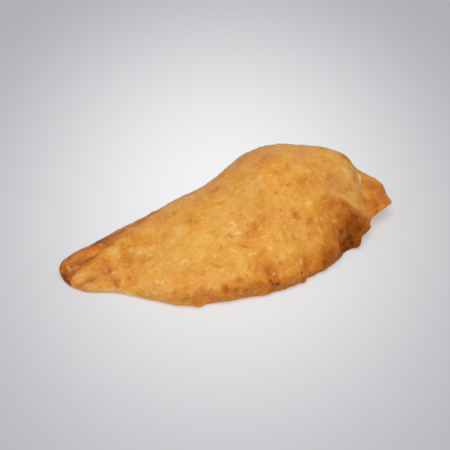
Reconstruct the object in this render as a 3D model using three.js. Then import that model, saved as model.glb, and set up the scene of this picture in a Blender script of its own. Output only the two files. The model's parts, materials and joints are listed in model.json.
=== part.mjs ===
// A fried calzone, lying as it is served: a round of dough folded over its filling, sealed along
// the near edge, puffed in the oil and flattened where it rests. It is one closed body.
// Millimetres, +Z up. X runs from the pinched tip to the pressed tail, Y from the sealed edge to the fold.
import * as THREE from "three";
import { ImprovedNoise } from "three/addons/math/ImprovedNoise.js";

const { clamp, lerp, smoothstep } = THREE.MathUtils;

// Driving dimensions
const bodyLength = 205; // pinched tip to the end of the tail
const bodyDepth = 98; // sealed edge to fold
const crownHeight = 43; // top of the puffed dough
const lipRound = 3.2; // radius of each pressed layer of dough at the sealed edge
const widestLip = 1 / 4; // and at most this share of a section's width
const widestUnderFold = 1 / 3; // the fold turns under by at most this share of a section's width
const swingLength = 7; // from one ragged bulge of the sealed edge to the next
const swingSlice = 0.5; // level at which the noise for those bulges is read
const lumpHeight = 1; // swell of the large lumps in the dough
const lumpLength = 33; // from one large lump to the next
const knobHeight = 0.45; // swell of the small lumps
const knobLength = 9; // from one small lump to the next
const flatHeight = 0.5; // the dough is pressed flat up to here
const lumpyHeight = 6; // and fully lumpy from here up

// Samples along the body and round a section
const stationCount = 88;
const lipSteps = 5;
const faceSteps = 16;
const foldSteps = 9;
const underFoldSteps = 5;
const baseSteps = 9;

const noise = new ImprovedNoise();

// Smooth run through knots of [station, value], with stations from 0 at the tip to 1 at the tail.
function along(...knots) {
  const last = knots.length - 1;
  const slope = (i) => {
    const before = knots[Math.max(i - 1, 0)];
    const after = knots[Math.min(i + 1, last)];
    return (after[1] - before[1]) / (after[0] - before[0]);
  };
  return (t) => {
    const i = Math.max(knots.findLastIndex((knot, k) => k < last && knot[0] <= t), 0);
    const span = knots[i + 1][0] - knots[i][0];
    const u = (t - knots[i][0]) / span;
    const ease = u * u * (3 - 2 * u);
    const bend = u * (1 - u) * span * (slope(i) * (1 - u) - slope(i + 1) * u);
    return lerp(knots[i][1], knots[i + 1][1], ease) + bend;
  };
}

// Path in plan: shares of the length from the tip, and of the depth from the sealed edge.
function planPath(...shares) {
  return new THREE.SplineCurve(
    shares.map(([x, y]) => new THREE.Vector2(x * bodyLength, y * bodyDepth)),
  );
}

// Outline in plan, both edges running from the tip to the tail
const sealedEdge = planPath(
  [0, 0.545], [0.01, 0.44], [0.055, 0.34], [0.14, 0.272], [0.22, 0.155], [0.305, 0.045], [0.41, 0.01],
  [0.51, 0.004], [0.6, 0.018], [0.685, 0.077], [0.755, 0.138], [0.81, 0.225], [0.861, 0.258], [0.898, 0.358],
  [0.993, 0.478],
);
const foldEdge = planPath(
  [0, 0.545], [0.018, 0.615], [0.07, 0.67], [0.135, 0.715], [0.21, 0.765], [0.295, 0.815], [0.39, 0.872],
  [0.49, 0.93], [0.575, 1.002], [0.665, 1.02], [0.75, 0.99], [0.825, 0.945], [0.895, 0.89], [0.952, 0.835],
  [1.003, 0.68],
);

// Heights as shares of the crown: the puffed dome, and the tail that it comes down to
const dome = along(
  [0, 0.08], [0.08, 0.18], [0.25, 0.32], [0.33, 0.38], [0.42, 0.57], [0.505, 0.64], [0.545, 0.765],
  [0.59, 0.985], [0.66, 1.04], [0.74, 0.97], [0.83, 0.84], [1, 0.7],
);
const tailTop = along([0, 0.45], [0.92, 0.45], [0.955, 0.375], [0.985, 0.345], [1, 0.305]);
const shoulderStation = 0.78;
const tailStation = 0.925;
const shoulderTurn = 2.5;
function crown(t) {
  const down = clamp((t - shoulderStation) / (tailStation - shoulderStation), 0, 1);
  return lerp(dome(t), tailTop(t), down ** shoulderTurn);
}
const foldHeight = along(
  [0, 0.04], [0.25, 0.16], [0.42, 0.23], [0.58, 0.35], [0.88, 0.36], [0.93, 0.28], [1, 0.28],
);
const baseHeight = along(
  [0, 0], [0.84, 0], [0.89, 0.06], [0.93, 0.17], [0.96, 0.22], [0.985, 0.24], [1, 0.265],
);

// Place of the crest as a share of a section's width, and how full the face below it is
const crestPlace = along(
  [0, 0.5], [0.17, 0.6], [0.5, 0.655], [0.7, 0.69], [0.88, 0.77], [0.93, 0.6], [1, 0.5],
);
const fullness = along(
  [0, 2], [0.4, 2.2], [0.5, 2.5], [0.6, 2.1], [0.68, 2.4], [0.78, 2.3], [0.87, 1.7], [1, 2],
);

// Sealed edge: the seam's height and notch, and the lip above it, which grows to a leaning wall by the tail
const seamHeight = along(
  [0, 0.05], [0.25, 0.08], [0.33, 0.15], [0.4, 0.21], [0.51, 0.2], [0.58, 0.15], [0.66, 0.12], [0.86, 0.15],
  [0.93, 0.24], [1, 0.28],
);
const deepestNotch = Math.PI / 4; // how far each pressed layer turns back into the seam, at most
const seamNotch = along([0, 0.2], [0.1, 0.5], [0.28, 0.2], [0.4, 1], [0.55, 1], [0.65, 0.25], [1, 0.1]);
const lipHeight = along(
  [0, 0.03], [0.1, 0.07], [0.6, 0.06], [0.68, 0.08], [0.74, 0.22], [0.79, 0.44], [0.83, 0.37], [0.87, 0.26],
  [0.93, 0.08], [1, 0.02],
);
const lipDepth = along(
  [0, 1], [0.6, 1], [0.68, 1.4], [0.74, 3], [0.79, 5], [0.83, 3.6], [0.87, 2], [0.93, 1], [1, 1],
);
const wallLean = along([0, 0], [0.7, 0], [0.79, 0.5], [0.83, 0.8], [0.88, 0.8], [0.93, 0.2], [1, 0]);
const edgeSwing = along([0, 0.2], [0.4, 0.6], [0.65, 1.2], [0.86, 1.8], [0.93, 0.6], [1, 0.5]);

// Creases and ridges of the upper side: a path in plan, a half width and a height, negative for a crease
const reliefSamples = 24;
const reliefMargin = 5; // creases and ridges grow from nothing over this distance from the edges
function relief(halfWidth, height, ...shares) {
  return { halfWidth, height, points: planPath(...shares).getPoints(reliefSamples) };
}
const reliefs = [
  relief(2.8, -3.2, [0, 0.455], [0.03, 0.506], [0.075, 0.527], [0.125, 0.584], [0.17, 0.65]), // tip crease
  relief(4.5, -1.2, [-0.01, 0.42], [0.02, 0.46], [0.05, 0.475]), // hollow where that crease opens
  relief(3.2, 1.4, [0, 0.53], [0.03, 0.56], [0.08, 0.59], [0.14, 0.65]), // rolled edge behind the crease
  relief(2, -1.8, [0.028, 0.365], [0.05, 0.365], [0.07, 0.372], [0.085, 0.375]), // lower crease at the tip
  relief(4, -0.8, [0.945, 0.82], [0.925, 0.62], [0.905, 0.45], [0.9, 0.38]), // root of the tail
  relief(3, 1.2, [0.8, 0.43], [0.84, 0.36], [0.87, 0.325], [0.9, 0.34]), // ridge on top of the leaning wall
];

// Height that the creases and ridges add at a place in plan. Each fades out towards its ends.
function reliefAt(place) {
  let sum = 0;
  for (const { halfWidth, height, points } of reliefs) {
    const gaps = points.map((p) => p.distanceTo(place));
    const gap = Math.min(...gaps);
    const run = gaps.indexOf(gap) / reliefSamples;
    const fade = Math.sqrt(Math.max(Math.sin(Math.PI * run), 0));
    sum += height * fade * Math.exp(-((gap / halfWidth) ** 2));
  }
  return sum;
}

// One closed section, from the seam over the crest and the fold to the base and back to the seam.
function section(t) {
  const back = foldEdge.getPoint(t);
  const front = sealedEdge.getPoint(t);
  const swing = edgeSwing(t) * noise.noise(front.x / swingLength, front.y / swingLength, swingSlice);
  front.addScaledVector(back.clone().sub(front).normalize(), swing);
  const width = front.distanceTo(back);
  const top = crown(t) * crownHeight;
  const seam = seamHeight(t) * crownHeight;
  const lip = Math.min(lipHeight(t) * crownHeight, top - seam);
  const fold = foldHeight(t) * crownHeight;
  const base = Math.max(baseHeight(t), 0) * crownHeight;
  const crest = crestPlace(t) * width;
  const round = Math.min(lipRound, widestLip * width);
  const wall = round * lipDepth(t);
  const lean = wallLean(t);
  const underRound = Math.min(fold, widestUnderFold * width);
  const notchAngle = -deepestNotch * seamNotch(t);

  const ring = [];
  const push = (inset, height) => {
    const plan = front.clone().lerp(back, inset / width);
    ring.push(new THREE.Vector3(plan.x, plan.y, height));
  };
  const pushUpper = (inset, height) => {
    push(inset, height);
    const edgeGap = Math.min(inset, width - inset);
    const p = ring.at(-1);
    p.z += reliefAt(new THREE.Vector2(p.x, p.y)) * smoothstep(edgeGap, 0, reliefMargin);
  };
  const lipAngle = (i) => lerp(notchAngle, Math.PI / 2, i / lipSteps);
  const lipInset = (i) => 1 - Math.cos(lipAngle(i));
  const lipRise = (i) => (Math.sin(lipAngle(i)) - Math.sin(notchAngle)) / (1 - Math.sin(notchAngle));
  const swellStart = wall * lean;
  const swellShare = (inset) => Math.max(inset - swellStart, 0) / (crest - swellStart);
  const swell = (inset) => (top - seam - lip) * (1 - (1 - swellShare(inset)) ** fullness(t));

  for (let i = 0; i < lipSteps; i++) {
    const inset = wall * lerp(lipInset(i), i / lipSteps, lean);
    pushUpper(inset, seam + (lip + swell(inset)) * lerp(lipRise(i), i / lipSteps, lean));
  }
  for (let i = 0; i < faceSteps; i++) {
    const inset = lerp(wall, crest, i / faceSteps);
    pushUpper(inset, seam + lip + swell(inset));
  }
  for (let i = 0; i < foldSteps; i++) {
    const angle = (Math.PI / 2) * (i / foldSteps);
    pushUpper(lerp(crest, width, Math.sin(angle)), lerp(fold, top, Math.cos(angle)));
  }
  for (let i = 0; i < underFoldSteps; i++) {
    const angle = (Math.PI / 2) * (i / underFoldSteps);
    push(width - underRound * (1 - Math.cos(angle)), lerp(fold, base, Math.sin(angle)));
  }
  for (let i = 0; i < baseSteps; i++) {
    push(lerp(width - underRound, round, i / baseSteps), base);
  }
  for (let i = lipSteps; i > 0; i--) {
    push(round * lipInset(i), lerp(seam, base, lipRise(i)));
  }
  return ring;
}

// Closed loft through the sections, with a fan at each end.
function loft(sections) {
  const count = sections[0].length;
  const points = sections.flat();
  const faces = [];
  for (let s = 0; s < sections.length - 1; s++) {
    for (let i = 0; i < count; i++) {
      const a = s * count + i;
      const b = s * count + ((i + 1) % count);
      faces.push(a, a + count, b, b, a + count, b + count);
    }
  }
  const closeEnd = (ring, first, turn) => {
    const centre = ring.reduce((sum, p) => sum.add(p), new THREE.Vector3()).divideScalar(count);
    const hub = points.push(centre) - 1;
    for (let i = 0; i < count; i++) {
      faces.push(hub, first + ((i + turn) % count), first + ((i + 1 - turn) % count));
    }
  };
  closeEnd(sections[0], 0, 0);
  closeEnd(sections.at(-1), count * (sections.length - 1), 1);
  const geometry = new THREE.BufferGeometry().setFromPoints(points);
  geometry.setIndex(faces);
  geometry.computeVertexNormals();
  return geometry;
}

// Uneven dough: lumps push the surface along its normals, and leave the flat base as it is.
function addLumps(geometry) {
  const { position, normal } = geometry.attributes;
  const p = new THREE.Vector3();
  const n = new THREE.Vector3();
  const lump = (size) => noise.noise(p.x / size, p.y / size, p.z / size);
  for (let i = 0; i < position.count; i++) {
    p.fromBufferAttribute(position, i);
    n.fromBufferAttribute(normal, i);
    const swell = lumpHeight * lump(lumpLength) + knobHeight * lump(knobLength);
    p.addScaledVector(n, swell * smoothstep(p.z, flatHeight, lumpyHeight));
    position.setXYZ(i, p.x, p.y, Math.max(p.z, 0));
  }
  geometry.computeVertexNormals();
}

// Stations start just inside the tip, and crowd towards both ends, where the body narrows fast
const tipStation = 0.012;
const crowding = 0.45;
const sections = [];
for (let s = 0; s <= stationCount; s++) {
  const even = s / stationCount;
  const eased = (1 - Math.cos(Math.PI * even)) / 2;
  sections.push(section(lerp(tipStation, 1, lerp(even, eased, crowding))));
}
const geometry = loft(sections);
addLumps(geometry);
geometry.computeBoundingBox();
const middle = geometry.boundingBox.getCenter(new THREE.Vector3());

const dough = new THREE.MeshStandardMaterial({ color: 0xd3923f, roughness: 0.6, metalness: 0 });
const calzone = new THREE.Mesh(geometry, dough);
calzone.name = "calzone";
calzone.position.set(-middle.x, -middle.y, 0);

const part = new THREE.Group();
part.add(calzone);
export default part;
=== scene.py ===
import json
import math
import random

import bpy
import numpy as np
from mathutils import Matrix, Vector, kdtree, noise

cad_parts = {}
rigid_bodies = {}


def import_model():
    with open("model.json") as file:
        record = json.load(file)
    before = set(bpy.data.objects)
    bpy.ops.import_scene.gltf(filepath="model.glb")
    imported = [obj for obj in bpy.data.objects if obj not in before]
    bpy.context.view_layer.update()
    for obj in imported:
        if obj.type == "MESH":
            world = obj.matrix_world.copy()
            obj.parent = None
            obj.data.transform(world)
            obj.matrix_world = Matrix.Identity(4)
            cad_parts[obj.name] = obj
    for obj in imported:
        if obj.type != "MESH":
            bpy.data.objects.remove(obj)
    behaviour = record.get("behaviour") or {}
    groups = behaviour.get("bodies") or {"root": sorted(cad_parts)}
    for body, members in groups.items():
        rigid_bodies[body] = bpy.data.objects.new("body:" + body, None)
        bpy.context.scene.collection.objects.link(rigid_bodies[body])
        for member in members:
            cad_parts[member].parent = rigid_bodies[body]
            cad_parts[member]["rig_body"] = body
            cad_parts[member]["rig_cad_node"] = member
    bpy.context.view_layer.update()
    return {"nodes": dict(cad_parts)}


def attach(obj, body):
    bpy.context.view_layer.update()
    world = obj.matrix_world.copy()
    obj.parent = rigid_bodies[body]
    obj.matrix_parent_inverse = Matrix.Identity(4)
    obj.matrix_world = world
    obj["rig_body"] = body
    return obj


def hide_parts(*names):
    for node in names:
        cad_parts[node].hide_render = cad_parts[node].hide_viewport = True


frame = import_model()
mm = 0.001  # sizes below are in millimetres, on the part's own axes


def selectOnly(obj):
    bpy.ops.object.select_all(action="DESELECT")
    obj.select_set(True)
    bpy.context.view_layer.objects.active = obj


def applyModifier(obj, kind, name, **settings):
    modifier = obj.modifiers.new(name, kind)
    for key, value in settings.items():
        setattr(modifier, key, value)
    selectOnly(obj)
    bpy.ops.object.modifier_apply(modifier=name)


def addGroup(obj, name, weights):
    group = obj.vertex_groups.new(name=name)
    for index in np.flatnonzero(weights > 0):
        group.add([int(index)], float(weights[index]), "REPLACE")


def dropGroup(obj, name):
    obj.vertex_groups.remove(obj.vertex_groups[name])


def pointsOf(obj):
    flat = np.empty(len(obj.data.vertices) * 3, np.float32)
    obj.data.vertices.foreach_get("co", flat)
    return flat.reshape(-1, 3) / mm


def ease(low, high, value):
    share = np.clip((value - low) / (high - low), 0, 1)
    return share * share * (3 - 2 * share)


# the dough: a fine copy of the solid, its facets rounded off
dough = {
    "node": "calzone",
    "name": "crust",
    "mergeGap": 0.01,
    "roundLevels": 2,
    "voxel": 0.74,
    "softenPasses": 3,
    "softenShare": 0.5,
    # more passes along a band, where the solid or the skin is too sharp
    "calmed": {
        "crest": (40, (6.0, 1.0, [(62, -9), (66, -11), (70.6, -13.6), (75.3, -16.4), (80, -15.5)])),
        "seam": (14, (4.5, 1.0, [(-24, -47.4, 10.4), (-12, -49.4, 9.6), (0, -49.4, 7.8), (12.5, -49, 6.2),
                                 (27, -46.6, 5.2)])),
        "pinch": (10, (3.2, 1.0, [(-102, -1.2, 5), (-101, -2.4, 4.4), (-100.4, -3.7, 3.8),
                                  (-99.8, -5.4, 3.6)])),
        "tail": (8, (3.2, 1.0, [(101.8, 14.6, 12), (101.8, 18.6, 12)])),
    },
}


def makeDough():
    selectOnly(frame["nodes"][dough["node"]])
    bpy.ops.object.duplicate()
    piece = bpy.context.active_object
    piece.name = dough["name"]
    piece.data.name = dough["name"]
    bpy.ops.object.parent_clear(type="CLEAR_KEEP_TRANSFORM")
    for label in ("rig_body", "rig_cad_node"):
        del piece[label]
    bpy.ops.object.mode_set(mode="EDIT")
    bpy.ops.mesh.select_all(action="SELECT")
    bpy.ops.mesh.remove_doubles(threshold=dough["mergeGap"] * mm)
    bpy.ops.mesh.tris_convert_to_quads()
    bpy.ops.mesh.customdata_custom_splitnormals_clear()
    bpy.ops.object.mode_set(mode="OBJECT")
    levels = dough["roundLevels"]
    applyModifier(piece, "SUBSURF", "round", levels=levels, render_levels=levels)
    applyModifier(piece, "REMESH", "fine", mode="VOXEL", voxel_size=dough["voxel"] * mm)
    applyModifier(piece, "SMOOTH", "soften", factor=dough["softenShare"], iterations=dough["softenPasses"])
    bpy.ops.object.shade_smooth()
    print("dough:", len(piece.data.vertices), "points,", 2 * len(piece.data.polygons), "triangles")
    return piece


crust = makeDough()
bpy.context.view_layer.update()

# how marks and strokes fall on the crust
brush = {
    "dropHeight": 100,
    "markReach": 1.5,  # radii at which a mark has faded out
    "endFade": 0.35,  # share of a stroke's path
    "noiseShift": 11.3,  # from one axis to the next
}


# places on the crust: two numbers fall on it from above, three go to its nearest point
def spot(x, y, z=None):
    if z is None:
        hit, place, _, _ = crust.ray_cast(Vector((x, y, brush["dropHeight"])) * mm, Vector((0, 0, -1)))
        if hit:
            return np.array(place) / mm
    _, place, _, _ = crust.closest_point_on_mesh(Vector((x, y, z or 0)) * mm)
    return np.array(place) / mm


def cloud(points, size, shift):
    offset = Vector((shift, shift, shift))
    return np.array([noise.noise(Vector(p) / size + offset) for p in points])


# points moved about by noise, so that what is painted by place gets a ragged edge
def ragged(points, size, amount, shift):
    sway = [cloud(points, size, shift + axis * brush["noiseShift"]) for axis in range(3)]
    return points + np.stack(sway, axis=1) * amount


# a mark is a place, a radius and a strength
def nearMark(points, mark):
    *place, radius, strength = mark
    away = np.linalg.norm(points - spot(*place), axis=1)
    return strength * (1 - ease(0, brush["markReach"] * radius, away))


def nearMarks(points, marks):
    return np.maximum.reduce([nearMark(points, mark) for mark in marks])


def nearPath(points, path, halfWidth):
    spots = [spot(*place) for place in path]
    best = np.full(len(points), np.inf)
    along = np.zeros(len(points))
    count = len(spots) - 1
    for index in range(count):
        start = spots[index]
        leg = spots[index + 1] - start
        share = np.clip((points - start) @ leg / (leg @ leg), 0, 1)
        away = np.linalg.norm(points - start - share[:, None] * leg, axis=1)
        closer = away < best
        best = np.where(closer, away, best)
        along = np.where(closer, (index + share) / count, along)
    return 1 - ease(0, halfWidth, best), along


# a stroke is a half width, a strength and a path of places, and fades at both ends
def nearStroke(points, stroke):
    halfWidth, strength, path = stroke
    weights, along = nearPath(points, path, halfWidth)
    fade = brush["endFade"]
    return strength * weights * ease(0, fade, along) * (1 - ease(1 - fade, 1, along))


def nearStrokes(points, strokes):
    return np.maximum.reduce([nearStroke(points, stroke) for stroke in strokes])


# a band is written like a stroke, but keeps its strength to its ends
def nearBand(points, band):
    halfWidth, strength, path = band
    return strength * nearPath(points, path, halfWidth)[0]


def nearBands(points, bands):
    return np.maximum.reduce([nearBand(points, band) for band in bands])


def calmAlong(piece, name):
    passes, band = dough["calmed"][name]
    addGroup(piece, name, nearBand(pointsOf(piece), band))
    applyModifier(piece, "SMOOTH", name, vertex_group=name, factor=dough["softenShare"], iterations=passes)
    dropGroup(piece, name)


# moves each point along its normal, out where its height is above 0 and in where it is below
def sculpt(piece, name, heights):
    for label, amount, sign in ((name + "Up", heights, 1), (name + "Down", -heights, -1)):
        deepest = float(amount.max())
        if deepest <= 0:
            continue
        addGroup(piece, label, amount / deepest)
        strength = sign * deepest * mm
        applyModifier(piece, "DISPLACE", label, vertex_group=label, strength=strength, mid_level=0)
        dropGroup(piece, label)


# small pale pearls of dough that stand up on the face; their pale tint is a painted highlight
pearls = {
    "places": [
        (-61, -3.6), (-56.9, -6.3), (-78.2, -11.7), (-74.1, -14.4), (-76.8, -21.6), (-72.6, -23.7),
        (-95.2, -7.9), (12.6, -45.8), (20.5, -45.7), (23.5, -47.3, 5.5), (-13.7, -41.5), (43, -15.7),
        (49.5, -22.6), (36.2, -30.3), (7.6, -10), (29.6, 19.4), (-55.5, -35.7), (38, -33), (33, 2),
        (-16, 21), (-44, -21),
    ],
    "seed": 1444,
    "radius": (0.9, 1.5),
    "height": 0.45,
    # the pale tint, a painted highlight
    "colour": (240, 190, 136),
    "share": (0.35, 0.8),
}


def nearPearls(points):
    rng = random.Random(pearls["seed"])
    marks = []
    for place in pearls["places"]:
        marks.append((*place, rng.uniform(*pearls["radius"]), rng.uniform(*pearls["share"])))
    return nearMarks(points, marks)


# lines that are both sculpted and painted
lines = {
    "tip": [(-103, -5.5), (-101, -4.4), (-99.5, -0.7), (-96, 1.4), (-92.9, 1.8), (-89.2, 2.1), (-85.4, 3.2),
            (-81.5, 4.2), (-78.7, 5.6), (-76.4, 7.4), (-74, 9.4)],
    "underTip": [(-99.5, -14, 2), (-97.5, -14.4, 3), (-95.4, -13.8, 4.2), (-92.4, -13.4), (-89.8, -13),
                 (-87.2, -13.2), (-84.8, -13.2), (-82.8, -12.4)],
    "byRing": [(-6.8, -15.8), (-5.6, -17.6), (-4.6, -19.2), (-3.8, -20.6)],
    "scratch": [(-4.4, -23.6), (-1.6, -26), (1.4, -28), (5, -29.8)],
    "longScratch": [(-23, -31), (-20, -33.4), (-17, -36), (-14.6, -37.4)],
    "crest": [(60.5, -8), (66, -10.2), (71, -11.9), (74.6, -14.2), (78, -15), (81, -14.8)],
}

# folds and seams that the hands left in the dough; grooves and ridges are strokes, lumps and dents marks
folds = {
    "grooves": [
        (2.4, 1.1, [(-105, -6.5)] + lines["tip"]),
        (6.0, 1.2, [(-104, -6.5), (-102, -6), (-100, -5.2), (-97, -3.2), (-94, -1.5), (-90, -0.5), (-85, 1),
                    (-80, 3.4), (-76, 7)]),
        (3.5, 0.5, [(-95, -15, 4.5), (-92, -15.8, 5), (-88, -15, 6.5), (-84, -14.6)]),
        (2.6, 1.5, [(60.5, -25.5, 16), (60.2, -28.3, 11), (59.8, -30.2, 6.5), (59.5, -31.6, 1.5)]),
        (1.9, 1.2, lines["underTip"]),
        (1.4, 0.5, lines["byRing"]),
        (1.2, 0.4, lines["scratch"]),
        (1.2, 0.35, lines["longScratch"]),
        (2.6, 0.3, [(-24, -47.4, 10.4), (-17.6, -48.6, 10.8), (-11.9, -49.4, 9.6), (-5.7, -49.4, 8.1),
                    (0.2, -49.4, 7.8), (6.4, -49.2, 7.2), (12.5, -49, 6.2), (18.6, -48.6, 5.5),
                    (27, -46.6, 5.2), (34, -44, 5)]),
    ],
    "ridges": [
        (4.0, 0.6, [(-104, 1), (-97, 4.5), (-90, 6), (-82, 9.5), (-74, 13), (-66, 15.5), (-58, 18.5)]),
        (3.2, 0.9, [(-101, -7.6), (-98.5, -8.2), (-95.5, -8.8), (-91, -9), (-86.5, -10.2), (-81, -9.6)]),
        (3.2, 0.9, lines["crest"]),
        (1.6, 0.5, [(91, 24), (88.5, 17), (86, 9), (83, 2)]),
    ],
    "lumps": [
        # near edge
        (-33, -48.5, 2.5, 4.2, 1.5), (7, -49.5, 2, 5, 1.2), (31.2, -44.9, 2, 2.4, 1.4),
        (34, -46, 3, 3, 0.6), (38, -44, 4, 0.6),
        # wall
        (46, -40, 4, 4, 0.7), (47, -39, 4, 0.7), (54, -33, 5, 0.8), (56, -31.5, 11, 4, 0.9),
        (59, -31, 3, 4, 0.8), (64, -22, 18, 4, 0.7), (66, -20, 4, 0.7), (71, -26.5, 3, 4, 1.8),
        (72, -17.5, 5, 1.0), (80, -17, 9, 5, 2.6),
        # tail
        (94, -3, 12, 6, 0.8), (101.8, -3.6, 11.6, 2.4, 0.9),
    ],
    "dents": [
        # tip
        (-101.8, -3.8, 4, 2, 0.8), (-99.8, -6.8, 3, 0.6),
        # near edge
        (-26, -48.6, 3, 3.4, 1.1), (35.6, -43.4, 2, 2.6, 1.4),
        # wall
        (53, -36, 4, 3, 0.9), (57, -19, 10, 2.0), (65.5, -27, 6, 7, 2.0), (76, -22, 4, 3, 1.2),
        # tail
        (85.4, 21, 1.6, 0.6), (86.2, 23.5, 2, 1.1), (87.6, 27.5, 2, 0.8), (101.5, 3.6, 13.5, 3.5, 0.6),
    ],
    # painted shade in the grooves: its share per mm of a groove's depth, and its colour
    "shade": 0.26,
    "shadeColour": (124, 75, 36),
    "ringBlister": (-2.6, -15.2),
    "ringRadius": 2.8,
    "ringWidth": 1.4,
    "ringHeight": 0.6,
}


def foldHeights(points):
    height = nearStrokes(points, folds["ridges"]) - nearStrokes(points, folds["grooves"])
    height += nearMarks(points, folds["lumps"]) - nearMarks(points, folds["dents"])
    height += pearls["height"] * nearPearls(points)
    fromRing = np.linalg.norm(points - spot(*folds["ringBlister"]), axis=1) - folds["ringRadius"]
    height += folds["ringHeight"] * (1 - ease(0, folds["ringWidth"], np.abs(fromRing)))
    return height


# the fried skin: blisters and roughness, none of it on the resting face
skin = {
    "seed": 41,
    "baseFade": (0.3, 2.0),
    "blisterCount": 420,
    "blisterRadius": (1.2, 3.8),
    "blisterHeight": (0.12, 0.42),
    "speckCount": 160,
    "speckRadius": (0.8, 1.5),
    "speckSwell": (0.3, 1.0),
    "speckHeight": 0.16,
    "textures": [("waves", 13.0, 0.8), ("dimples", 5.0, 0.5), ("grain", 2.1, 0.22)],  # size and height
    "textureDepth": 2,
    "textureMiddle": 0.5,
}


def bumpsOn(points, rng, count, radiusRange, heightRange):
    tree = kdtree.KDTree(len(points))
    for index, point in enumerate(points):
        tree.insert(point, index)
    tree.balance()
    bumps = np.zeros(len(points))
    for _ in range(count):
        centre = points[rng.randrange(len(points))]
        radius = rng.uniform(*radiusRange)
        height = rng.uniform(*heightRange)
        for _, index, away in tree.find_range(centre, radius):
            swell = height * (1 - (away / radius) ** 2) ** 2
            bumps[index] = max(bumps[index], swell)
    return bumps


def frySkin(piece):
    rng = random.Random(skin["seed"])
    calmAlong(piece, "crest")
    calmAlong(piece, "seam")
    points = pointsOf(piece)
    clear = ease(*skin["baseFade"], points[:, 2])
    sculpt(piece, "folds", foldHeights(points) * clear)
    points = pointsOf(piece)
    blisters = bumpsOn(points, rng, skin["blisterCount"], skin["blisterRadius"], skin["blisterHeight"])
    specks = bumpsOn(points, rng, skin["speckCount"], skin["speckRadius"], skin["speckSwell"])
    sculpt(piece, "blisters", (blisters + specks * skin["speckHeight"]) * clear)
    addGroup(piece, "clear", clear)
    for name, size, height in skin["textures"]:
        texture = bpy.data.textures.new(name, "CLOUDS")
        texture.noise_scale = size * mm
        texture.noise_depth = skin["textureDepth"]
        applyModifier(piece, "DISPLACE", name, texture=texture, texture_coords="LOCAL",
                      vertex_group="clear", strength=height * mm, mid_level=skin["textureMiddle"])
    dropGroup(piece, "clear")
    calmAlong(piece, "pinch")
    calmAlong(piece, "tail")
    print("skin:", skin["blisterCount"], "blisters,", skin["speckCount"], "specks")
    return specks


specks = frySkin(crust)
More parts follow.
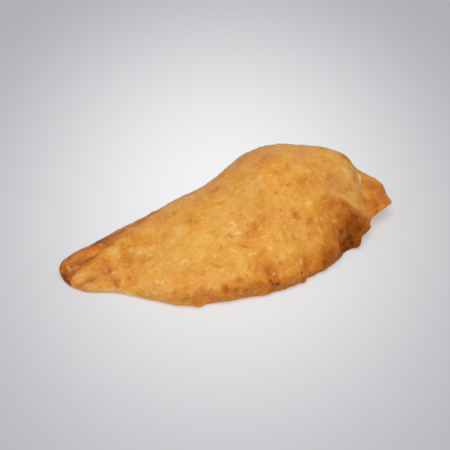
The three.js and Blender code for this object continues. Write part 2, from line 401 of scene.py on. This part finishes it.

# how long each place fried, with painted shade and painted highlights in some marks: more than 0 is browner
# than the golden face, less than 0 is paler; zones add up, and elsewhere the strongest mark, stroke or band
# counts
browningAndPaintedLight = {
    "sway": (6.0, 2.5, 3.7),
    "fray": (2.6, 0.7, 8.2),
    "zones": [
        # tip
        (-87, -1, 7, 0.12), (-84, -10, 12, 0.06), (-80, -17.5, 8, 0.06), (-80, -12.5, 7, 0.04),
        (-80, -12, 11, 0.05), (-75.5, 12.6, 5, 0.08),
        # face
        (-68, 4, 12, 0.06), (-67, -18, 8, 0.04), (-55, 2, 7, 0.06), (-49, 23.5, 6, 0.07),
        (-40, -35, 8, 0.04), (-32, -8, 20, -0.03), (-22, -18, 18, -0.05), (-10, -4.5, 9, -0.03),
        # dome
        (15, 8, 8, -0.04), (20, -20, 24, 0.04), (22, 18, 14, 0.06), (22.5, -35.8, 8, -0.04),
        (30, 30, 14, 0.04), (32, -28, 7, -0.03), (52, 0, 12, 0.04), (56, -10, 9, 0.03),
        (62.5, -13.6, 7, 0.08), (67.5, 7, 5, -0.05), (72.5, 15.5, 5, 0.05),
        # near edge
        (-50, -39.5, 7, 7, -0.06), (-28, -38.5, 8, 0.05), (-16, -46, 16, 0.08), (10, -42, 12, 0.06),
        (15, -49, 5, 9, 0.14), (15, -44, 11, 0.09), (27, -42, 8, 0.03), (35, -42, 14, 0.17),
        # wall: browner, and darker with painted shade where it turns from the light
        (47, -25.5, 25, 7, 0.1), (49, -36, 11, 8, 0.12), (50, -31, 10, 0.05), (54, -21, 13, 0.12),
        (60, -29, 8, 0.1), (68, -26, 9, 0.12), (69, -22, 13, 6, 0.08),
        # tail
        (74, 9, 6, -0.05), (81.5, 23, 29.5, 5, 0.13), (84, -7, 9, 0.2),
    ],
    "patches": [
        # tip
        (-101, 2, 6, 0.44), (-100.6, -2.5, 5, 0.58), (-97, -2.7, 4.5, 0.38), (-92.5, -3, 4.5, 0.12),
        (-79, -13, 3.5, 0.22), (-76, -7, 4, 0.2), (-75, -20, 3.5, 0.22), (-73, 12, 6, 0.38),
        # face
        (-67.5, 15, 6, 0.36), (-66, -23, 4, 0.18), (-64, -8, 6, 0.24), (-62, 0, 5, 0.14),
        (-57, -12, 4, 0.14), (-57, 12, 4.5, 0.16), (-49, -1, 4, 0.12), (-48, 21, 4, 0.3),
        (-40, -3, 3, 0.12), (-36, 13, 5, 0.14), (-22, 0, 7, 0.2), (-12, 16, 6, 0.12),
        (-2, 23, 6, 0.22), (8, -36, 4, 0.15), (9, -19, 5.5, 0.22),
        # dome
        (14, -16, 4, 0.16), (18, 33, 5, 0.15), (22, -14, 7, 0.1), (29, 20, 5, 0.14), (30, 6, 4, 0.15),
        (34, -19, 3, 0.32), (38, 8, 3.5, 0.15), (40, -23, 3.5, 0.22), (42, -9, 6, 0.1), (46, -2, 5, 0.15),
        (60, -12.5, 6, 0.2), (61, -8.5, 5, 0.1), (64, 1, 5, 0.2),
        # near edge
        (-45.8, -41.7, 2.5, 0.28), (-39, -45, 7, 3.5, 0.3), (-39, -42, 4.5, 0.15),
        (-31.9, -46.7, 3.5, 0.25), (-22, -49, 6, 5, 0.2), (-17, -48, 10.5, 3.5, 0.34),
        (-12, -48.9, 9, 4, 0.3), (-9, -47, 4, 0.16), (-6, -49, 8, 4, 0.3), (3, -41, 4, 0.16),
        (11, -45, 4, 0.22), (13, -48.6, 4.5, 3.5, 0.25), (33, -43, 4, 0.14), (35, -39, 4, 0.1),
        # wall: browner, and darker with painted shade below the ridge
        (78, -18, 13, 4, 0.5), (82, -16, 9, 5, 0.45),
        # tail
        (74.5, -1.5, 4, 0.16), (80, 24, 5, 0.15), (89, -2, 7, 0.24), (90, -7.5, 6, 0.26), (90, 3, 6, 0.26),
    ],
    "backSeed": 7,
    "backLine": ([-105, -40, 10, 60, 105], [14, 35, 46, 46, 36]),
    "backPatches": 26,
    "backRadius": (3.0, 7.0),
    "backShade": (0.14, 0.34),
    "bands": [
        # fold at the back
        (19.0, 0.2, [(-85, 13, 3), (-50, 28, 4), (-10, 41, 7), (20, 48, 10), (50, 49, 12), (80, 42, 11),
                     (95, 30, 8)]),
        (15.0, 0.12, [(5, 42, 22), (30, 48, 26), (60, 48, 26), (82, 36, 22)]),
        # near edge: a browner seam, and a darker lip below it, partly painted shade
        (4.0, 0.12, [(-47, -41), (-39, -45), (-30, -47), (-16, -48.5), (-5, -48.5), (9, -48.5), (22, -48),
                     (31, -45)]),
        (5.0, 0.19, [(-47, -42, 6), (-39, -46, 5.5), (-30, -48, 6), (-16, -49.5, 6.5), (-5, -49.5, 5.5),
                     (9, -49.5, 5), (22, -48.5, 4), (31, -45.5, 4)]),
        # far edge of the face
        (7.0, 0.42, [(-103, 3), (-98, 5), (-91, 7.2), (-83, 10.5), (-74, 14.5), (-66, 16.5), (-61, 18.5)]),
        (6.0, 0.26, [(-60, 19), (-49, 22.5), (-38, 25)]),
        (6.0, 0.1, [(-42, 24), (-32, 27), (-20, 30), (-12, 31)]),
        # ends and wall
        (12.0, 0.36, [(93, 10), (98, 6), (97, 0)]),
        (3.0, 0.56, [(-102.6, 0.5, 3.5), (-102, -3, 3.5), (-100.8, -6, 3.2), (-99.8, -8, 3)]),
        (5.5, 0.4, [(40, -42, 3), (45, -39.5, 3), (50, -37.5, 3), (55, -34.5, 3), (59, -31.5, 2)]),
    ],
    "strokes": [
        (2.0, 0.4, lines["tip"]),
        (2.0, 0.42, [(8.2, -47.6, 12.6), (9.6, -48.3, 10.4), (11.2, -48.7, 8), (12.6, -48.7, 5)]),
        (1.5, 0.28, lines["underTip"]),
        (1.4, 0.36, lines["byRing"]),
        (1.5, 0.18, lines["scratch"]),
        (1.5, 0.2, lines["longScratch"]),
        (2.2, 0.22, [(86.2, 23.5), (84.6, 18), (83.2, 13), (81.5, 8), (79.8, 3.5)]),
        (1.5, 0.3, [(78, 28), (81.1, 27.1), (83.5, 24.4), (86.1, 23.7)]),
    ],
    "paleStrokes": [
        # the tail's pale streak, partly a painted highlight on the edge of its fold
        (2.2, 0.44, [(90.2, 23), (88.2, 18.6), (86.7, 13), (84.2, 7)]),
        (2.6, 0.28, [(-95, -15.5, 3), (-84, -19.5, 3), (-76, -22.5, 2.6), (-68, -27, 2.6),
                     (-58, -32.5, 2.6)]),
        (1.4, 0.42, [(31.3, -37.5), (30.4, -40.6), (29.6, -43.5)]),
        (1.2, 0.3, [(2.2, -32.8), (4.4, -33.4), (6.8, -33.8)]),
        (1.2, 0.28, [(-54, -30), (-51.2, -31.5), (-48.5, -33)]),
        (1.2, 0.25, [(-30, -39.6), (-27.6, -40.3), (-25.5, -41)]),
        (1.4, 0.32, [(-4.4, -9), (-3, -9.2), (-1.2, -9.8), (-0.4, -11.8), (-0.2, -14), (0, -15.6)]),
        (2.2, 0.3, [(-5, -16), (-3.4, -16.8), (-1.4, -17.6), (0.8, -18.4), (2.8, -18.6)]),
        # a painted highlight at the tip's fold
        (1.3, 0.5, [(-98.6, 1.9), (-97.8, 1.4), (-96.7, 0.4), (-96, -0.2)]),
        # a painted highlight along the crest
        (2.4, 0.2, lines["crest"]),
    ],
    # darker low along the edge: a brown rim, and painted shade near the floor
    "rimHeight": (0.5, 4.6),
    "rimStart": (-60, -34),
    "rimShare": 0.28,
    "burnsAndShade": [
        # tip
        (-95.8, 1.3, 1.8, 0.42), (-85.4, 3.3, 1.6, 0.38), (-76.5, 9, 3, 0.34),
        # near edge
        (14.2, -48.5, 7.6, 2.1, 0.42), (29.9, -45.3, 8.9, 1, 0.5), (30.8, -45.4, 4, 2.6, 0.36),
        # wall: a dark dot, and browning with painted shade in the hollow under the overhang
        (42, -41, 0.7, 0.25), (61.2, -24.7, 15.8, 4.2, 0.54), (67.5, -25.6, 8.5, 6.8, 0.54),
        (68, -26, 7, 3, 0.64), (71.5, -24.8, 7, 5, 0.5),
    ],
    "pales": [
        # tip
        (-89, -10.6, 4.5, 0.08), (-87.5, -18.2, 4.1, 3.5, 0.24),
        # face
        (-70, 0, 5, 0.1), (-62, 5, 4, 0.1), (-56, -5, 3.5, 0.1), (-46, 8, 4, 0.1), (-39, -19, 4, 0.08),
        (-36, -7, 5, 0.08), (-31, -2, 4, 0.1), (-26, -25, 5, 0.1), (-23, -16, 5, 0.1), (-6, -1, 8, 0.07),
        (-5, -36, 7, 0.12), (-2.5, -18.3, 3.5, 0.16), (-2, -15, 3.5, 0.2), (4, 2, 7, 0.08),
        # dome
        (13, 2, 9, 0.12), (17, 7, 6, 0.14), (17, 22, 4, 0.14), (25, -36, 4, 0.1), (25, -11, 4, 0.1),
        (29.5, -36.8, 4, 0.12), (43, -32, 4.5, 0.1), (44, -16, 3.5, 0.12), (45, 6, 5, 0.08),
        (46, -24, 4.5, 0.04),
        # near edge
        (-21, -39, 7, 0.12), (-14, -43, 4, 0.12), (-1, -43, 3, 0.1), (6.5, -49.8, 3.5, 3, 0.12),
        (16.2, -46.1, 2, 0.14), (20, -39, 4, 0.1),
        # wall
        (54.8, -34, 9.5, 3, 0.16), (56, -31.5, 12.5, 3.5, 0.2), (58.5, -21.5, 21, 2.5, 0.16),
        # tail
        (75.5, 8.5, 6, 0.13), (86, 3, 4, 0.1), (87, 16, 3, 0.2), (91, 12, 4, 0.12),
    ],
    # the wall at the right front, and what lies below the ridge on top of it, seen from above;
    # it is painted browner, partly as painted shade where it turns from the light
    "wallOutline": [(67.5, -13), (69.5, -11.5), (72, -12), (76.5, -14.6), (82, -13.5), (92, -18), (92, -60),
                    (26, -60), (34.8, -47.6), (43.6, -40.2), (50.2, -34.1), (56.2, -29.1), (61.8, -20.2)],
    "wallFade": 12.0,
    "wallShare": 0.46,
    "underRidge": [(40, -7), (60.5, -8.2), (66, -10.6), (71.2, -12.5), (74.8, -14.8), (78, -15.3), (82, -14),
                   (92, -18), (92, -60), (40, -60)],
    "underRidgeFade": 6.0,
    # the tops of the specks painted paler, a painted highlight
    "speckHighlightShare": 0.25,
}

# where the skin took up oil its gold is deeper; painted sheen makes it greyer in places,
# and painted shade makes it darker and duller low at the edge
oilAndPaintedLight = {
    "oily": [
        # face
        (-43, -34, 8, 0.15), (-30, -20, 11, 0.4), (-19, -31, 10, 0.5), (-19, -14, 11, 0.3),
        # dome
        (15, -32, 13, 0.62), (25, -13, 9, 0.45), (33, -3, 13, 0.3), (44, -16, 13, 0.3),
        # near edge
        (-12, -46, 8, 0.45), (-1.4, -44.5, 9, 0.55), (5, -39.5, 15, 0.62),
        # wall
        (42, -41.5, 5, 8, 0.6), (50, -38, 6, 10, 0.45), (59, -29.5, 10, 13, 0.45), (67, -24, 11, 11, 0.42),
        # tail
        (82, 25, 29, 6, 0.6),
    ],
    # painted sheen: a greyer tint where light glances off the skin
    "paintedSheen": [
        # tip
        (-94, -5, 6, 0.3), (-91, -16, 7, 0.26),
        # face
        (-68, 16, 8, 0.16), (-57, -34, 8, 0.16), (-55, 18, 9, 0.2), (-38, 15, 9, 0.16),
        (-24, 22, 10, 0.22), (-11, 23, 10, 0.24), (-0.4, 28, 10, 0.3),
        # dome
        (17, 33, 12, 0.34), (23.6, 25, 11, 0.36), (34, 28, 12, 0.36), (50, 22, 12, 0.3),
        (62, -4, 10, 0.26), (64, 6, 12, 0.1), (71, 0, 9, 0.1), (75, -13, 6, 0.14),
        # near edge
        (-50, -40, 7, 7, 0.16),
        # tail
        (99, 1, 8, 0.2),
    ],
    # painted shade low along the near edge and the foot of the wall
    "paintedLowShade": [
        (4.5, 0.38, [(-20, -49, 4), (-10, -50, 3.5), (0, -50, 3), (10, -49.5, 2.5), (20, -48.5, 2),
                     (30, -46, 2)]),
        (6.0, 0.42, [(36, -44, 2), (45, -40, 2), (52, -37, 2), (58, -33, 1.5)]),
    ],
    "oilyColour": (255, 254, 110),
    "paintedSheenColour": (212, 150, 106),
    "paintedLowShadeColour": (148, 110, 30),
}


# 1 inside an outline seen from above and 0 outside it, eased over the fade at its edge
def insideOutline(points, outline, fade):
    x = points[:, 0]
    y = points[:, 1]
    inside = np.zeros(len(points), bool)
    best = np.full(len(points), np.inf)
    for (x0, y0), (x1, y1) in zip(outline, outline[1:] + outline[:1]):
        runX = x1 - x0
        runY = y1 - y0
        crosses = (y0 > y) != (y1 > y)
        reach = np.where(crosses, runX * (y - y0) / (runY or 1) + x0, np.inf)
        inside ^= crosses & (x < reach)
        share = np.clip(((x - x0) * runX + (y - y0) * runY) / (runX ** 2 + runY ** 2), 0, 1)
        best = np.minimum(best, np.hypot(x - x0 - share * runX, y - y0 - share * runY))
    return ease(-fade / 2, fade / 2, np.where(inside, best, -best))


# patches on the side that turns away, drawn at random
def backPatches(points):
    rng = random.Random(browningAndPaintedLight["backSeed"])
    behind = points[points[:, 1] > np.interp(points[:, 0], *browningAndPaintedLight["backLine"])]
    marks = []
    for _ in range(browningAndPaintedLight["backPatches"]):
        place = behind[rng.randrange(len(behind))]
        marks.append((*place, rng.uniform(*browningAndPaintedLight["backRadius"]), rng.uniform(*browningAndPaintedLight["backShade"])))
    return marks


def paint(piece, name, weights):
    layer = piece.data.attributes.new(name, "FLOAT", "POINT")
    layer.data.foreach_set("value", weights.astype(np.float32))


def paintBrowningAndPaintedLight(piece):
    points = pointsOf(piece)
    swayed = ragged(points, *browningAndPaintedLight["sway"])
    frayed = ragged(points, *browningAndPaintedLight["fray"])
    # the wall: browning and painted shade
    wall = insideOutline(swayed, browningAndPaintedLight["wallOutline"], browningAndPaintedLight["wallFade"])
    wall *= insideOutline(points, browningAndPaintedLight["underRidge"], browningAndPaintedLight["underRidgeFade"])
    # a brown rim with painted shade, low along the edge
    rim = (1 - ease(*browningAndPaintedLight["rimHeight"], points[:, 2])) * ease(*browningAndPaintedLight["rimStart"], points[:, 0])
    browner = np.maximum.reduce([
        nearMarks(swayed, browningAndPaintedLight["patches"] + backPatches(points)),
        nearMarks(points, browningAndPaintedLight["burnsAndShade"]),
        nearStrokes(frayed, browningAndPaintedLight["strokes"]),
        nearBands(swayed, browningAndPaintedLight["bands"]),
        browningAndPaintedLight["wallShare"] * wall,
        browningAndPaintedLight["rimShare"] * rim,
    ])
    paler = np.maximum.reduce([
        nearMarks(swayed, browningAndPaintedLight["pales"]),
        nearStrokes(frayed, browningAndPaintedLight["paleStrokes"]),
        # a painted highlight on the tops of the specks
        browningAndPaintedLight["speckHighlightShare"] * specks * (1 - wall),
    ])
    zones = sum(nearMark(swayed, zone) for zone in browningAndPaintedLight["zones"])
    paint(piece, "donenessAndPaintedLight", zones + browner - paler)
    # a painted highlight on the pearls
    paint(piece, "pearl", nearPearls(points))
    # painted shade in the grooves, darker where they are deeper
    paint(piece, "creaseShade", folds["shade"] * nearStrokes(points, folds["grooves"]))
    paint(piece, "oily", nearMarks(swayed, oilAndPaintedLight["oily"]))
    # painted sheen
    paint(piece, "paintedSheen", nearMarks(swayed, oilAndPaintedLight["paintedSheen"]))
    # painted shade low along the edge
    paint(piece, "paintedLowShade", nearBands(swayed, oilAndPaintedLight["paintedLowShade"]))
    print("browning: painted")


paintBrowningAndPaintedLight(crust)

# fried dough: one scale of colours from pale to burnt, mottled and slightly oily; colours are sRGB, 0 to 255
fried = {
    "stops": [(0.0, (248, 213, 156)), (0.2, (242, 185, 94)), (0.4, (233, 159, 53)), (0.58, (215, 127, 37)),
              (0.75, (188, 103, 26)), (0.9, (148, 75, 13)), (1.0, (100, 46, 6))],
    "golden": 0.37,
    "mottleSize": 15.0,
    "mottleDetail": 6.5,
    "mottleRoughness": 0.93,
    "mottleShare": 0.75,
    # size, the range of the noise that shows, and the step in tone
    "flecks": [(3.4, 0.53, 0.74, -0.16), (5.2, 0.55, 0.72, 0.12), (1.5, 0.56, 0.80, -0.18),
               (1.1, 0.60, 0.78, 0.10)],
    "fleckDetail": 2.0,
    "fleckRoughness": 0.6,
    # a range, and the values at its two ends
    "fleckCalm": (0.15, 0.5, 1.0, 0.45),
    "roughness": (0.3, 0.7, 0.45, 0.65),
    "specular": (0.5, 0.9, 0.38, 0.06),
    "subsurface": 0.08,
    "subsurfaceScale": 1.5,
    "bump": 0.5,
    "bumpDepth": 0.25,
    "bumpSize": 1.5,
    "bumpDetail": 3.0,
    "bumpRoughness": 0.5,
}


# sRGB numbers as the linear colour that a shader takes
def linear(colour):
    shares = [c / 255 for c in colour]
    return [s / 12.92 if s <= 0.04045 else ((s + 0.055) / 1.055) ** 2.4 for s in shares] + [1]


def addNode(tree, kind, **settings):
    node = tree.nodes.new(kind)
    for key, value in settings.items():
        if key in node.inputs:
            node.inputs[key].default_value = value
        else:
            setattr(node, key, value)
    return node


def grainOf(tree, coords, size, detail, roughness):
    grain = addNode(tree, "ShaderNodeTexNoise", Scale=1 / (size * mm), Detail=detail, Roughness=roughness)
    tree.links.new(coords, grain.inputs["Vector"])
    return grain.outputs["Fac"]


def span(tree, value, low, high, bottom, top, kind="LINEAR"):
    node = addNode(tree, "ShaderNodeMapRange", interpolation_type=kind)
    for socket, number in zip(node.inputs[1:5], (low, high, bottom, top)):
        socket.default_value = number
    tree.links.new(value, node.inputs["Value"])
    return node.outputs["Result"]


def combine(tree, operation, first, second):
    node = addNode(tree, "ShaderNodeMath", operation=operation)
    tree.links.new(first, node.inputs[0])
    tree.links.new(second, node.inputs[1])
    return node.outputs[0]


def addRamp(tree, value, stops):
    node = addNode(tree, "ShaderNodeValToRGB")
    elements = node.color_ramp.elements
    for place, _ in stops[1:-1]:
        elements.new(place)
    for element, (place, colour) in zip(elements, stops):
        element.position = place
        element.color = linear(colour)
    tree.links.new(value, node.inputs["Fac"])
    return node


def tinted(tree, colour, attribute, tint, blend="MIX"):
    weight = addNode(tree, "ShaderNodeAttribute", attribute_name=attribute)
    mix = addNode(tree, "ShaderNodeMixRGB", Color2=linear(tint), blend_type=blend)
    tree.links.new(weight.outputs["Fac"], mix.inputs["Fac"])
    tree.links.new(colour, mix.inputs["Color1"])
    return mix.outputs["Color"]


# how fried each place looks, from 0, pale, to 1, burnt, with painted shade and painted highlights in places
def friedTone(tree, coords, mottle):
    half = fried["mottleShare"] / 2
    tone = span(tree, mottle, 0, 1, fried["golden"] - half, fried["golden"] + half)
    donenessAndPaintedLight = addNode(tree, "ShaderNodeAttribute", attribute_name="donenessAndPaintedLight").outputs["Fac"]
    tone = combine(tree, "ADD", tone, donenessAndPaintedLight)
    calm = span(tree, donenessAndPaintedLight, *fried["fleckCalm"])
    for size, low, high, share in fried["flecks"]:
        grain = grainOf(tree, coords, size, fried["fleckDetail"], fried["fleckRoughness"])
        fleck = span(tree, grain, low, high, 0, share, "SMOOTHSTEP")
        tone = combine(tree, "ADD", tone, combine(tree, "MULTIPLY", fleck, calm))
    return tone


# deeper where oily; painted sheen, painted shade at the low edge and in creases, painted highlights on
# pearls
def friedColour(tree, tone):
    colour = addRamp(tree, tone, fried["stops"]).outputs["Color"]
    colour = tinted(tree, colour, "oily", oilAndPaintedLight["oilyColour"], "MULTIPLY")
    # painted sheen
    colour = tinted(tree, colour, "paintedSheen", oilAndPaintedLight["paintedSheenColour"])
    # painted shade low along the edge
    colour = tinted(tree, colour, "paintedLowShade", oilAndPaintedLight["paintedLowShadeColour"])
    # painted shade in the grooves
    colour = tinted(tree, colour, "creaseShade", folds["shadeColour"])
    # a painted highlight on the pearls
    return tinted(tree, colour, "pearl", pearls["colour"])


def makeFriedDough():
    material = bpy.data.materials.new("friedDough")
    material.use_nodes = True
    tree = material.node_tree
    sockets = tree.nodes["Principled BSDF"].inputs
    coords = tree.nodes.new("ShaderNodeTexCoord").outputs["Object"]
    mottle = grainOf(tree, coords, fried["mottleSize"], fried["mottleDetail"], fried["mottleRoughness"])
    relief = grainOf(tree, coords, fried["bumpSize"], fried["bumpDetail"], fried["bumpRoughness"])
    bump = addNode(tree, "ShaderNodeBump", Strength=fried["bump"], Distance=fried["bumpDepth"] * mm)
    tree.links.new(relief, bump.inputs["Height"])
    tone = friedTone(tree, coords, mottle)
    tree.links.new(friedColour(tree, tone), sockets["Base Color"])
    tree.links.new(span(tree, mottle, *fried["roughness"]), sockets["Roughness"])
    tree.links.new(span(tree, tone, *fried["specular"]), sockets["Specular IOR Level"])
    tree.links.new(bump.outputs["Normal"], sockets["Normal"])
    sockets["Specular IOR Level"].default_value = fried["specular"][2]  # as on the golden face
    sockets["Subsurface Weight"].default_value = fried["subsurface"]
    sockets["Subsurface Scale"].default_value = fried["subsurfaceScale"] * mm
    return material


crust.data.materials.clear()
crust.data.materials.append(makeFriedDough())
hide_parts("calzone")
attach(crust, "root")
print("crust: finished")

# pale floor, soft light and the camera
studio = {
    "floorSize": 6000,
    "floorLightPoolColours": [(0.17, (140, 141, 143)), (1.0, (193, 193, 194))],
    "floorRoughness": 0.9,
    "floorGlow": 0.81,
    "poolCentre": (12, 48, 0),
    "poolReach": (250, 389, 1000),
    "worldColour": (236, 238, 242),
    "worldStrength": 0.43,
    "keyAngle": (-20, 71),
    "keyDistance": 1500,
    "keySize": 1100,
    "keyPower": 14.7,
    "aim": (-0.8, 6.4, 11.2),
    "azimuth": -17,
    "elevation": 40,
    "distance": 1000,
    "sensor": 36,
    "lens": 134.45,
}


# where something stands around the aim, and the turn that makes it look there
def around(azimuth, elevation, distance):
    side = math.radians(azimuth)
    up = math.radians(elevation)
    back = Vector((math.sin(side) * math.cos(up), -math.cos(side) * math.cos(up), math.sin(up)))
    place = Vector(studio["aim"]) * mm + back * distance * mm
    turn = (-back).to_track_quat("-Z", "Y").to_euler()
    return place, turn


# a painted pool of light: the floor is palest around the crust, and its glow thins the shadows on it
def makeFloor():
    bpy.ops.object.select_all(action="DESELECT")
    bpy.ops.mesh.primitive_plane_add(size=studio["floorSize"] * mm)
    floor = bpy.context.active_object
    floor.name = "floor"
    material = bpy.data.materials.new("paleFloor")
    material.use_nodes = True
    tree = material.node_tree
    coords = tree.nodes.new("ShaderNodeTexCoord").outputs["Object"]
    pool = addNode(tree, "ShaderNodeMapping", vector_type="TEXTURE",
                   Location=Vector(studio["poolCentre"]) * mm,
                   Rotation=(0, 0, math.radians(studio["azimuth"])),
                   Scale=Vector(studio["poolReach"]) * mm)
    fade = addNode(tree, "ShaderNodeTexGradient", gradient_type="SPHERICAL")
    tree.links.new(coords, pool.inputs["Vector"])
    tree.links.new(pool.outputs["Vector"], fade.inputs["Vector"])
    tint = addRamp(tree, fade.outputs["Fac"], studio["floorLightPoolColours"])
    tint.color_ramp.interpolation = "EASE"
    sockets = tree.nodes["Principled BSDF"].inputs
    sockets["Roughness"].default_value = studio["floorRoughness"]
    # the floor glows though it is no lamp: painted light that thins the shadows on it
    sockets["Emission Strength"].default_value = studio["floorGlow"]
    for name in ("Base Color", "Emission Color"):
        tree.links.new(tint.outputs["Color"], sockets[name])
    floor.data.materials.append(material)


def makeLight():
    world = bpy.data.worlds.new("softRoom")
    world.use_nodes = True
    sky = world.node_tree.nodes["Background"]
    sky.inputs["Color"].default_value = linear(studio["worldColour"])
    sky.inputs["Strength"].default_value = studio["worldStrength"]
    bpy.context.scene.world = world
    place, turn = around(*studio["keyAngle"], studio["keyDistance"])
    bpy.ops.object.light_add(type="AREA", location=place, rotation=turn)
    key = bpy.context.active_object
    key.name = "keyLight"
    key.data.size = studio["keySize"] * mm
    key.data.energy = studio["keyPower"]


def makeCamera():
    place, turn = around(studio["azimuth"], studio["elevation"], studio["distance"])
    bpy.ops.object.camera_add(location=place, rotation=turn)
    camera = bpy.context.active_object
    camera.data.sensor_width = studio["sensor"]
    camera.data.lens = studio["lens"]
    bpy.context.scene.camera = camera
    bpy.context.scene.view_settings.view_transform = "Standard"


makeFloor()
makeLight()
makeCamera()
print("studio: ready")
